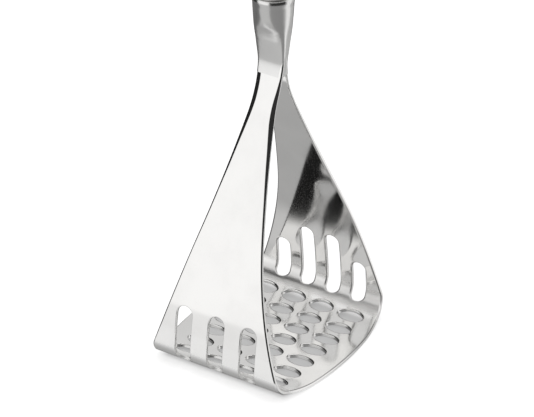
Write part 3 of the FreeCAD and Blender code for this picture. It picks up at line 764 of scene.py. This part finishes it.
# %% Shared shader groups
def shader_group(name, inputs, outputs):
    """A shader group with named inputs and their values, and number outputs."""
    tree = bpy.data.node_groups.new(name, "ShaderNodeTree")
    for label, (kind, value) in inputs.items():
        socket = tree.interface.new_socket(label, in_out="INPUT", socket_type=kind)
        socket.default_value = value
    for label in outputs:
        tree.interface.new_socket(label, in_out="OUTPUT", socket_type="NodeSocketFloat")
    return tree, tree.nodes.new("NodeGroupInput"), tree.nodes.new("NodeGroupOutput")


def noise(tree, vector, scale, detail, roughness):
    """Soft noise from 0 to 1."""
    return fed_node(tree, "ShaderNodeTexNoise", {
        "Vector": vector, "Scale": scale, "Detail": detail, "Roughness": roughness}).outputs["Fac"]


ORIGIN = ("NodeSocketVector", (0.0, 0.0, 0.0))
lines, given, made = shader_group("polishing_lines", {
    "Vector": ORIGIN,
    "Stretch": ("NodeSocketVector", (4200.0, 110.0, 110.0)),
}, ["Lines", "Haze"])
stretched = vector_arithmetic(lines, "MULTIPLY", given.outputs["Vector"], given.outputs["Stretch"])
feed(lines, made.inputs["Lines"], noise(lines, stretched, 1.0, 4.0, 0.6))
cloud = noise(lines, given.outputs["Vector"], 55.0, 4.0, 0.55)
feed(lines, made.inputs["Haze"], ramp(lines, cloud, 0.35, 0.70))

rounds, given, made = shader_group("turning_lines", {
    "Vector": ORIGIN,
    "Per metre": ("NodeSocketFloat", 5200.0),
}, ["Lines", "Haze"])
parts = separated(rounds, given.outputs["Vector"])
angle = arithmetic(rounds, "ARCTAN2", parts["Y"], parts["X"])
wrapped = combined(rounds, X=arithmetic(rounds, "MULTIPLY", arithmetic(rounds, "SINE", angle), 1.6),
                   Y=arithmetic(rounds, "MULTIPLY", arithmetic(rounds, "COSINE", angle), 1.6),
                   Z=arithmetic(rounds, "MULTIPLY", parts["Z"], given.outputs["Per metre"]))
feed(rounds, made.inputs["Lines"], noise(rounds, wrapped, 1.0, 4.0, 0.65))
cloud = noise(rounds, given.outputs["Vector"], 60.0, 3.0, 0.5)
feed(rounds, made.inputs["Haze"], ramp(rounds, cloud, 0.35, 0.70))
print("shader groups:", lines.name, "and", rounds.name)


# %% One maker for every steel finish
WORN = {"wall": 0.16, "plate": 0.05, "bend": 0.22}


def steel(name, group, settings, colour, rough, line_rough, haze_rough, bump, worn=None):
    """Stainless steel with marks from a shared group; worn adds roughness to walls, plate and bends."""
    material = bpy.data.materials.new(name)
    material.use_nodes = True
    tree = material.node_tree
    face = tree.nodes["Principled BSDF"]
    place = object_place(tree)
    marks = fed_node(tree, "ShaderNodeGroup", {"Vector": place, **settings}, node_tree=group)
    total = arithmetic(tree, "MULTIPLY_ADD", marks.outputs["Lines"], line_rough, rough - line_rough / 2)
    total = arithmetic(tree, "MULTIPLY_ADD", marks.outputs["Haze"], haze_rough, total)
    if worn:
        cut = add_node(tree, "ShaderNodeAttribute", attribute_name="cut_wall").outputs["Fac"]
        parts = separated(tree, place)
        out = arithmetic(tree, "ABSOLUTE", parts["Y"])
        bends = arithmetic(tree, "MULTIPLY", ramp(tree, out, 34 * MM, 38 * MM),
                           ramp(tree, parts["Z"], 10 * MM, 17 * MM, 1.0, 0.0))
        low = ramp(tree, parts["Z"], 2 * MM, 14 * MM, 1.0, 0.0)
        for share, label in ((ramp(tree, cut, 0.75, 1.0), "wall"), (low, "plate"), (bends, "bend")):
            total = arithmetic(tree, "MULTIPLY_ADD", share, worn[label], total)
    feed(tree, face.inputs["Roughness"], total)
    hazed = (*[0.955 * c for c in colour], 1.0)
    feed(tree, face.inputs["Base Color"],
         blended(tree, "RGBA", marks.outputs["Haze"], (*colour, 1.0), hazed))
    face.inputs["Metallic"].default_value = 1.0
    relief = fed_node(tree, "ShaderNodeBump", {
        "Strength": bump, "Distance": 0.01 * MM, "Height": marks.outputs["Lines"]})
    feed(tree, face.inputs["Normal"], relief.outputs["Normal"])
    return material


polished_strip = steel("polished_strip", lines, {}, (0.87, 0.865, 0.855),
                       0.05, 0.03, 0.03, 0.10, WORN)
polished_neck = steel("polished_neck", lines, {"Stretch": (2600.0, 2600.0, 130.0)},
                      (0.80, 0.797, 0.790), 0.22, 0.06, 0.03, 0.15)
print("finishes:", polished_strip.name, polished_neck.name)

# %% [markdown]
# ## The strip
# The flat blank goes through the folding tree, and comes out as a plain mesh. The surface directions
# that the tree carried round become the mesh's own normals, so the long faces mirror without facets.

# %% Folding, and exact normals
def adopt(mesh, node, material):
    """Makes a piece of a mesh in place: it rides on the tool, stands for a node, and has a finish."""
    piece = in_scene(mesh.name, mesh)
    mesh.materials.clear()
    mesh.materials.append(material)
    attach(piece, "root")
    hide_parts(node)


folded = evaluated_mesh(in_scene("flat_blank", flat), fold, {
    "Fold line": fold_line, "Middle": HALF_LENGTH, "Steel": polished_strip}, "masher_strip")
bpy.data.objects.remove(fold_line)
ways = np.empty(3 * len(folded.vertices))
folded.attributes["direction"].data.foreach_get("vector", ways)
ways = ways.reshape(-1, 3)
ways /= np.linalg.norm(ways, axis=1)[:, None]
folded.polygons.foreach_set("use_smooth", [True] * len(folded.polygons))
folded.normals_split_custom_set_from_vertices([tuple(w) for w in ways])
folded.attributes.remove(folded.attributes["direction"])
adopt(folded, "blade", polished_strip)
print("masher_strip:", len(folded.polygons), "faces; materials", [m.name for m in folded.materials])

# %% [markdown]
# ## The neck
# The strip's two ends are welded to a forged neck and ground until nothing shows: round under the
# handle, it flattens without an edge into the thin waist. A lathe gives only round shapes, so this is
# a loft: at each height a rounded section with its own half width, half depth and squareness.

# %% Sections of the neck, from the crotch to the rim
CROTCH = TAB_TOP - 13.2 * MM
SECTIONS = np.array([
    # height over the crotch, half width, half depth, squareness
    (0.0, 6.26, 1.86, 9.0), (2.5, 6.30, 1.88, 9.0), (5.0, 6.44, 2.00, 8.0), (8.2, 6.75, 2.35, 6.5),
    (12.2, 7.15, 2.95, 5.5), (17.2, 7.60, 3.95, 4.4), (20.7, 8.00, 5.30, 3.2), (24.2, 8.40, 7.00, 2.35),
    (28.2, 8.70, 8.20, 2.05), (33.0, 8.90, 8.80, 2.0), (36.4, 8.98, 8.97, 2.0), (37.2, 8.60, 8.60, 2.0),
])


def smooth_between(column, heights):
    """A smooth curve through one column of the sections."""
    knots, values = SECTIONS[:, 0], SECTIONS[:, column]
    slopes = np.gradient(values, knots)
    k = np.clip(np.searchsorted(knots, heights) - 1, 0, len(knots) - 2)
    span = knots[k + 1] - knots[k]
    t = (heights - knots[k]) / span
    rise = 3 * t ** 2 - 2 * t ** 3
    return (values[k] * (1 - rise) + values[k + 1] * rise
            + span * slopes[k] * t * (1 - t) ** 2 - span * slopes[k + 1] * t ** 2 * (1 - t))


def ring_faces(rings, count, capped):
    """Quads between rings of count points each, with both ends closed if capped."""
    faces = []
    for ring in range(rings - 1):
        low, high = ring * count, (ring + 1) * count
        faces += [(low + k, low + (k + 1) % count, high + (k + 1) % count, high + k)
                  for k in range(count)]
    if capped:
        faces.append(tuple(range(count - 1, -1, -1)))
        faces.append(tuple((rings - 1) * count + k for k in range(count)))
    return faces


def piece_mesh(name, places, faces, angle=35.0):
    """A mesh with shared corners, faces turned outward and smooth shading up to an angle."""
    mesh = bpy.data.meshes.new(name)
    mesh.from_pydata([tuple(p) for p in places], [], faces)
    shape = bmesh.new()
    shape.from_mesh(mesh)
    bmesh.ops.remove_doubles(shape, verts=shape.verts, dist=1e-7)
    bmesh.ops.recalc_face_normals(shape, faces=shape.faces)
    shape.to_mesh(mesh)
    shape.free()
    mesh.polygons.foreach_set("use_smooth", [True] * len(mesh.polygons))
    mesh.set_sharp_from_angle(angle=math.radians(angle))
    return mesh


def face_depth(height):
    """How far the strip's outer face stands from the middle at a height over the crotch, in mm."""
    arm = chain[chain[:, 0] > BEND_START + 2 * BEND_RADIUS]
    return float(np.interp(CROTCH + height * MM, arm[:, 2], arm[:, 1])) / MM


heights = np.concatenate([np.linspace(0.0, 36.2, 150), np.linspace(36.25, 37.2, 10)])
turns = np.linspace(0, 2 * math.pi, 160, endpoint=False)
rows = []
for height in heights:
    half_width, half_depth, square = (float(smooth_between(k, height)) for k in (1, 2, 3))
    half_depth = (half_depth ** 14 + (face_depth(height) + 0.03) ** 14) ** (1 / 14)
    if height > 36.4:
        half_width = half_depth = 8.18 + math.sqrt(max(0.8 ** 2 - (height - 36.4) ** 2, 0.0))
    cos, sin = np.cos(turns), np.sin(turns)
    reach = (np.abs(cos / half_width) ** square + np.abs(sin / half_depth) ** square) ** (-1 / square)
    rows.append(np.column_stack([reach * cos, reach * sin, np.full(len(turns), height)]))
neck_places = np.vstack(rows) * MM + [0.0, 0.0, CROTCH]
neck_shape = piece_mesh("neck_loft", neck_places, ring_faces(len(heights), len(turns), True))
adopt(neck_shape, "neck", polished_neck)
print("neck_loft:", len(neck_shape.polygons), "faces, top at", round(neck_places[:, 2].max() / MM, 2))

# %% [markdown]
# ## The handle and its fittings
# The ring, the shell and the cap are turned parts. A Screw modifier could spin their outlines, but a
# small lathe function keeps the outline's rounded corners and closes the poles by itself.

# %% A lathe with rounded corners
def rounded_outline(corners):
    """(radius, height, rounding) corners in mm to a polyline with an arc at each rounded corner."""
    line = []
    for k, (x, z, rounding) in enumerate(corners):
        if not rounding or k in (0, len(corners) - 1):
            line.append((x, z))
            continue
        here, before, after = (np.array(corners[k + step][:2]) for step in (0, -1, 1))
        to_before, to_after = before - here, after - here
        to_before, to_after = to_before / np.hypot(*to_before), to_after / np.hypot(*to_after)
        half = math.acos(np.clip(to_before @ to_after, -1, 1)) / 2
        reach = rounding / math.tan(half)
        inwards = to_before + to_after
        centre = here + inwards / np.hypot(*inwards) * rounding / math.sin(half)
        start, stop = here + to_before * reach - centre, here + to_after * reach - centre
        first, last = math.atan2(start[1], start[0]), math.atan2(stop[1], stop[0])
        sweep = (last - first + math.pi) % (2 * math.pi) - math.pi
        line += [tuple(centre + rounding * np.array([math.cos(turn), math.sin(turn)]))
                 for turn in first + sweep * np.linspace(0, 1, 7)]
    return line


def turned(name, corners, count=160):
    """A mesh of revolution about Z; an outline that ends on the axis closes in a pole."""
    line = rounded_outline(corners)
    turns = np.linspace(0, 2 * math.pi, count, endpoint=False)
    rows = [[(x * math.cos(t), x * math.sin(t), z) for t in turns] for x, z in line]
    closed = line[0] == line[-1]
    if closed:
        rows = rows[:-1]
    places = np.array(rows).reshape(-1, 3) * MM
    faces = ring_faces(len(rows), count, False)
    if closed:
        last = (len(rows) - 1) * count
        faces += [(last + k, last + (k + 1) % count, (k + 1) % count, k) for k in range(count)]
    return piece_mesh(name, places, faces)


TURNED_FINISHES = [
    # name, lines per metre, colour, roughness, its share from lines and from haze, relief
    ("brushed_handle", 5200.0, (0.77, 0.765, 0.755), 0.27, 0.16, 0.05, 0.35),
    ("turned_cap", 3800.0, (0.79, 0.785, 0.775), 0.14, 0.08, 0.04, 0.18),
    ("ring_steel", 9000.0, (0.60, 0.595, 0.585), 0.30, 0.14, 0.05, 0.30),
    ("inner_steel", 2600.0, (0.62, 0.61, 0.60), 0.38, 0.20, 0.08, 0.60),
]
brushed_handle, turned_cap, ring_steel, inner_steel = (
    steel(name, rounds, {"Per metre": fineness}, *values) for name, fineness, *values in TURNED_FINISHES)
HANDLE_FOOT, HANDLE_TOP = (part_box("handle_shell")[k][2] / MM for k in (0, 1))
BELLY = HANDLE_FOOT + 0.45 * (HANDLE_TOP - HANDLE_FOOT)
ring_low, ring_high = (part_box("spacer_ring")[k][2] / MM for k in (0, 1))
ring_shape = turned("spacer_collar", [
    (6.0, ring_low, 0), (8.2, ring_low, 0.12), (8.2, ring_low + 0.3, 0.06),
    (7.95, ring_low + 0.45, 0.06), (8.2, ring_low + 0.6, 0.06),
    (8.2, ring_high, 0.12), (6.0, ring_high, 0), (6.0, ring_low, 0)])
adopt(ring_shape, "spacer_ring", ring_steel)
print("finishes ready; ring from", round(ring_low, 2), "to", round(ring_high, 2), "mm")

# %% The hollow handle
SHELL_FOOT, SHELL_BELLY, SHELL_NECK, SHELL_WALL = 9.9, 11.2, 9.4, 1.35
BELLY_FROM = HANDLE_FOOT + 0.6


def belly_radius(height):
    """Radius of the soft belly: two arcs that stand upright where they meet."""
    if height < BELLY:
        rise, across = BELLY - BELLY_FROM, SHELL_BELLY - SHELL_FOOT
    else:
        rise, across = HANDLE_TOP - BELLY, SHELL_BELLY - SHELL_NECK
    radius = (across ** 2 + rise ** 2) / (2 * across)
    return SHELL_BELLY - radius + math.sqrt(radius ** 2 - (height - BELLY) ** 2)


outside = [(8.3, HANDLE_FOOT, 0), (SHELL_FOOT, HANDLE_FOOT, 0.6)]
outside += [(belly_radius(z), z, 0) for z in np.linspace(HANDLE_FOOT + 1.4, HANDLE_TOP - 2.6, 60)]
outside += [(x, HANDLE_TOP - down, rounding) for x, down, rounding in (
    (9.43, 1.5, 0.15), (9.20, 1.3, 0.12), (9.20, 1.0, 0.12), (9.41, 0.8, 0.15), (9.40, 0.0, 0.15),
    (8.3, 0.0, 0))]
inside_wall = [(8.3, HANDLE_TOP - 12.0, 0)]
inside_wall += [(belly_radius(z) - SHELL_WALL, z, 0)
                for z in np.linspace(HANDLE_TOP - 14.0, HANDLE_FOOT + 14.0, 24)]
inside_wall += [(8.3, HANDLE_FOOT + 12.0, 0), (8.3, HANDLE_FOOT, 0)]
shell_shape = turned("hollow_handle", outside + inside_wall, 192)
adopt(shell_shape, "handle_shell", brushed_handle)
print("hollow_handle:", len(shell_shape.polygons), "faces from", HANDLE_FOOT, "to", HANDLE_TOP)

# %% [markdown]
# ## The cap and its hanging eye
# The cap is a cast dome with a flat lug, pierced by an eye, and all its edges flow together. Sharp
# parts joined with a Boolean would leave hard corners, so the joined shape is remeshed into fine
# voxels and relaxed, which rounds each corner and fills the joint like a casting's fillet.

# %% Dome, lug and eye
mounts = {mount["name"]: mount for mount in frame["record"]["mounts"]}
EYE_CENTRE = mounts["hanging_eye"]["pos_m"][2] / MM
EYE_RADIUS = 3.25
CAP_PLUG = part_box("end_cap")[0][2] / MM
cap_line = [(0.0, CAP_PLUG, 0), (8.25, CAP_PLUG, 0.6), (8.25, HANDLE_TOP, 0), (9.35, HANDLE_TOP, 0.2)]
cap_line += [(3.1 + 6.25 * math.cos(turn), HANDLE_TOP + 5.9 * math.sin(turn), 0)
             for turn in np.linspace(0.12, 1.0, 14) * math.pi / 2]
cap_line.append((0.0, HANDLE_TOP + 5.95, 0))
dome_shape = turned("dome", cap_line, 120)


def lug_plate(half_width, half_thick, top, foot, hole, name):
    """A flat lug with a round head and a round hole through it, as one closed mesh."""
    turns = np.linspace(0, math.pi, 33)
    head = [(half_width * math.cos(t), top - half_width + half_width * math.sin(t)) for t in turns]
    outline = head + [(-half_width, foot), (half_width, foot)]
    ring = [(hole * math.cos(t), top - half_width + hole * math.sin(t))
            for t in np.linspace(2 * math.pi, 0, 48, endpoint=False)]
    flat_points = outline + ring
    ties = [(k, (k + 1) % len(outline)) for k in range(len(outline))]
    ties += [(len(outline) + k, len(outline) + (k + 1) % len(ring)) for k in range(len(ring))]
    corners_2d = [Vector(p) for p in flat_points]
    _, _, triangles, origins = delaunay_2d_cdt(corners_2d, ties, [], 0, 1e-6)[:4]
    order = [origin[0] for origin in origins]
    count = len(flat_points)
    faces = []
    for triangle in triangles:
        corners = [order[k] for k in triangle]
        middle = np.mean([flat_points[k] for k in corners], axis=0)
        if inside(middle[None, :], [np.array(outline), np.array(ring)])[0]:
            faces += [tuple(corners), tuple(count + k for k in reversed(corners))]
    faces += [(a, b, count + b, count + a) for a, b in ties]
    places = [(x * MM, sign * half_thick * MM, z * MM) for sign in (-1, 1) for x, z in flat_points]
    return piece_mesh(name, places, faces)


lug_shape = lug_plate(6.5, 2.5, EYE_CENTRE + 6.5, HANDLE_TOP + 1.0, EYE_RADIUS, "lug")
print("dome", len(dome_shape.polygons), "faces, lug", len(lug_shape.polygons), "faces")

# %% Joining, remeshing and relaxing the casting
casting = bmesh.new()
casting.from_mesh(dome_shape)
casting.from_mesh(lug_shape)
cast_mesh = bpy.data.meshes.new("casting")
casting.to_mesh(cast_mesh)
casting.free()
cast_base = in_scene("cast_base", cast_mesh)
voxels = cast_base.modifiers.new("voxels", "REMESH")
voxels.mode, voxels.voxel_size, voxels.use_smooth_shade = "VOXEL", 0.28 * MM, True
relaxed = cast_base.modifiers.new("relaxed", "SMOOTH")
relaxed.factor, relaxed.iterations = 0.5, 9
cast = cast_base.evaluated_get(bpy.context.evaluated_depsgraph_get())
cap_shape = bpy.data.meshes.new_from_object(cast)
cap_shape.name = "hanging_cap"
bpy.data.objects.remove(cast_base)
cap_shape.polygons.foreach_set("use_smooth", [True] * len(cap_shape.polygons))
adopt(cap_shape, "end_cap", turned_cap)
print("hanging_cap:", len(cap_shape.polygons), "faces; eye at", EYE_CENTRE, "mm")

# %% [markdown]
# ## Pieces inside the handle
# The plug and the tie rod are hidden once the tool is closed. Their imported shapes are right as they
# are, so they stay, and only take a plain turned steel.

# %% Finishes for the pieces that stay
for node in ("lower_plug", "tie_rod"):
    part = bpy.data.objects[node]
    part.data.materials.clear()
    part.data.materials.append(inner_steel)
print("inner pieces finished")
